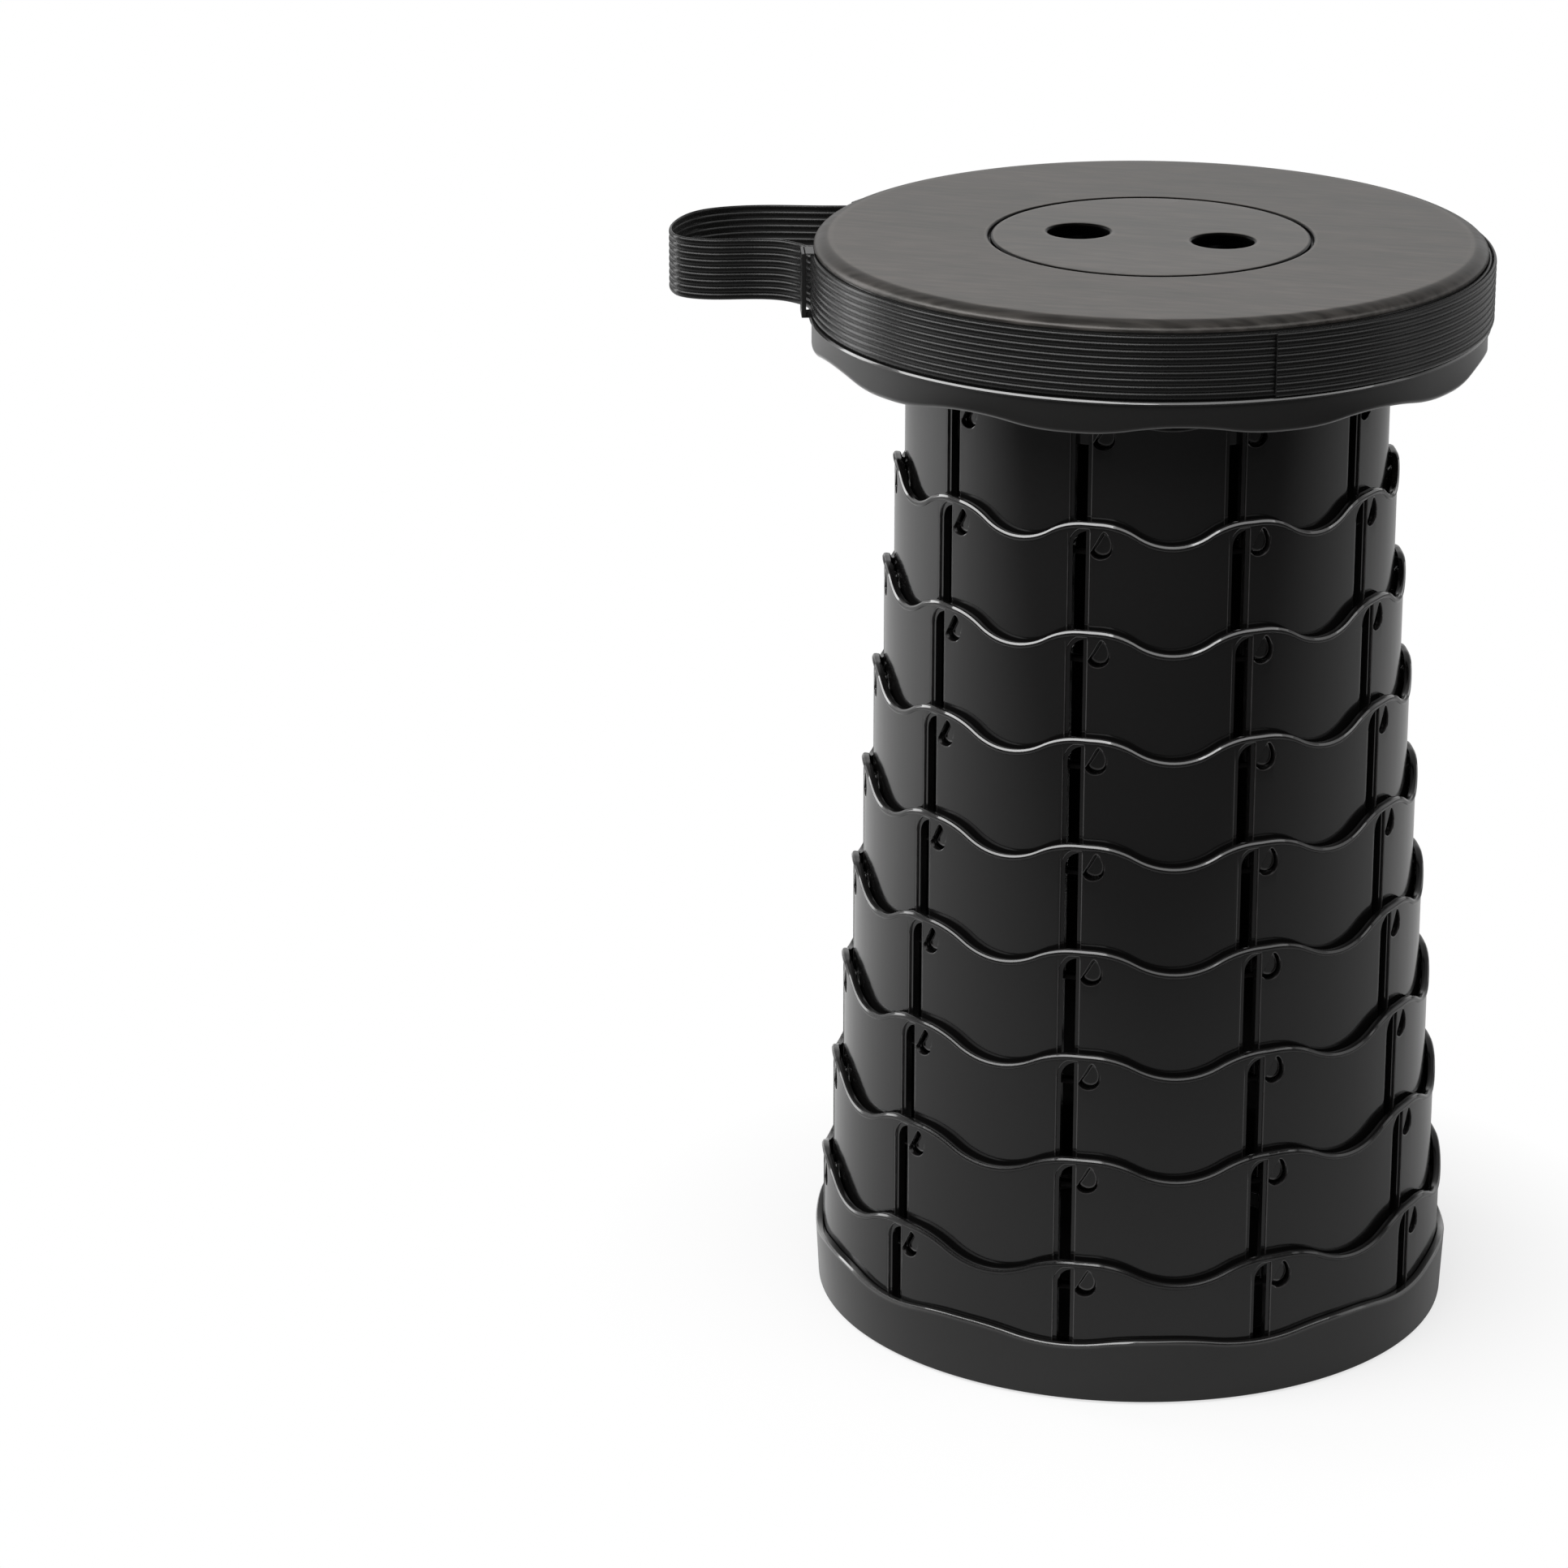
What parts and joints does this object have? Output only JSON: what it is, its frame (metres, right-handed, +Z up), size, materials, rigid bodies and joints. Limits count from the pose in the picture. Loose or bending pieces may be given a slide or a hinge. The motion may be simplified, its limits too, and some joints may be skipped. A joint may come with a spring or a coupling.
{
  "type": "folding stool",
  "caption": "Round telescopic stool of nested wavy rings that slide down into a low drum, with a ribbed webbing carrying loop and a cam buckle round the seat.",
  "frame": {"origin": "on the stool's axis, at the floor, under the rubber pads", "axes": "+Z up along the axis; -X towards the middle of the handle loop; the finger holes lie along X"},
  "size_m": [0.3093, 0.2539, 0.4185],
  "materials": {
    "ring_black": "gloss",
    "seat_grey": "satin, fine brushed grain",
    "rim_grey": "satin",
    "webbing": "ribbed webbing",
    "pad_rubber": "matte",
    "lever_grey": "satin",
    "pin_steel": "plain"
  },
  "bodies": {
    "base": {"base_cup": "rim_grey", "foot_pads": "pad_rubber", "ring_9": "ring_black"},
    "stage_8": {"ring_8": "ring_black"},
    "stage_7": {"ring_7": "ring_black"},
    "stage_6": {"ring_6": "ring_black"},
    "stage_5": {"ring_5": "ring_black"},
    "stage_4": {"ring_4": "ring_black"},
    "stage_3": {"ring_3": "ring_black"},
    "stage_2": {"ring_2": "ring_black"},
    "stage_1": {"ring_1": "ring_black"},
    "seat": {"seat_plate": "seat_grey", "centre_cap": "seat_grey", "seat_rim": "rim_grey", "seat_sleeve": "ring_black", "seat_screws": "pin_steel", "strap_belt": "webbing", "strap_handle": "webbing", "strap_tail": "webbing", "strap_guides": "rim_grey", "buckle_frame": "rim_grey", "buckle_pin": "pin_steel"},
    "lever": {"buckle_lever": "lever_grey"}
  },
  "joints": [
    {"name": "stage_8_slide", "type": "slide", "parent": "base", "child": "stage_8", "axis": [0, 0, 1], "range_m": [-0.0398, 0]},
    {"name": "stage_7_slide", "type": "slide", "parent": "stage_8", "child": "stage_7", "axis": [0, 0, 1], "range_m": [-0.0398, 0]},
    {"name": "stage_6_slide", "type": "slide", "parent": "stage_7", "child": "stage_6", "axis": [0, 0, 1], "range_m": [-0.0398, 0]},
    {"name": "stage_5_slide", "type": "slide", "parent": "stage_6", "child": "stage_5", "axis": [0, 0, 1], "range_m": [-0.0398, 0]},
    {"name": "stage_4_slide", "type": "slide", "parent": "stage_5", "child": "stage_4", "axis": [0, 0, 1], "range_m": [-0.0398, 0]},
    {"name": "stage_3_slide", "type": "slide", "parent": "stage_4", "child": "stage_3", "axis": [0, 0, 1], "range_m": [-0.0398, 0]},
    {"name": "stage_2_slide", "type": "slide", "parent": "stage_3", "child": "stage_2", "axis": [0, 0, 1], "range_m": [-0.0398, 0]},
    {"name": "stage_1_slide", "type": "slide", "parent": "stage_2", "child": "stage_1", "axis": [0, 0, 1], "range_m": [-0.0398, 0]},
    {"name": "seat_slide", "type": "slide", "parent": "stage_1", "child": "seat", "axis": [0, 0, 1], "range_m": [-0.0347, 0]},
    {"name": "lever_hinge", "type": "hinge", "parent": "seat", "child": "lever", "pos_m": [-0.09043, 0.09529, 0.4023], "axis": [0, 0, 1], "range_deg": [0, 70]}
  ]
}
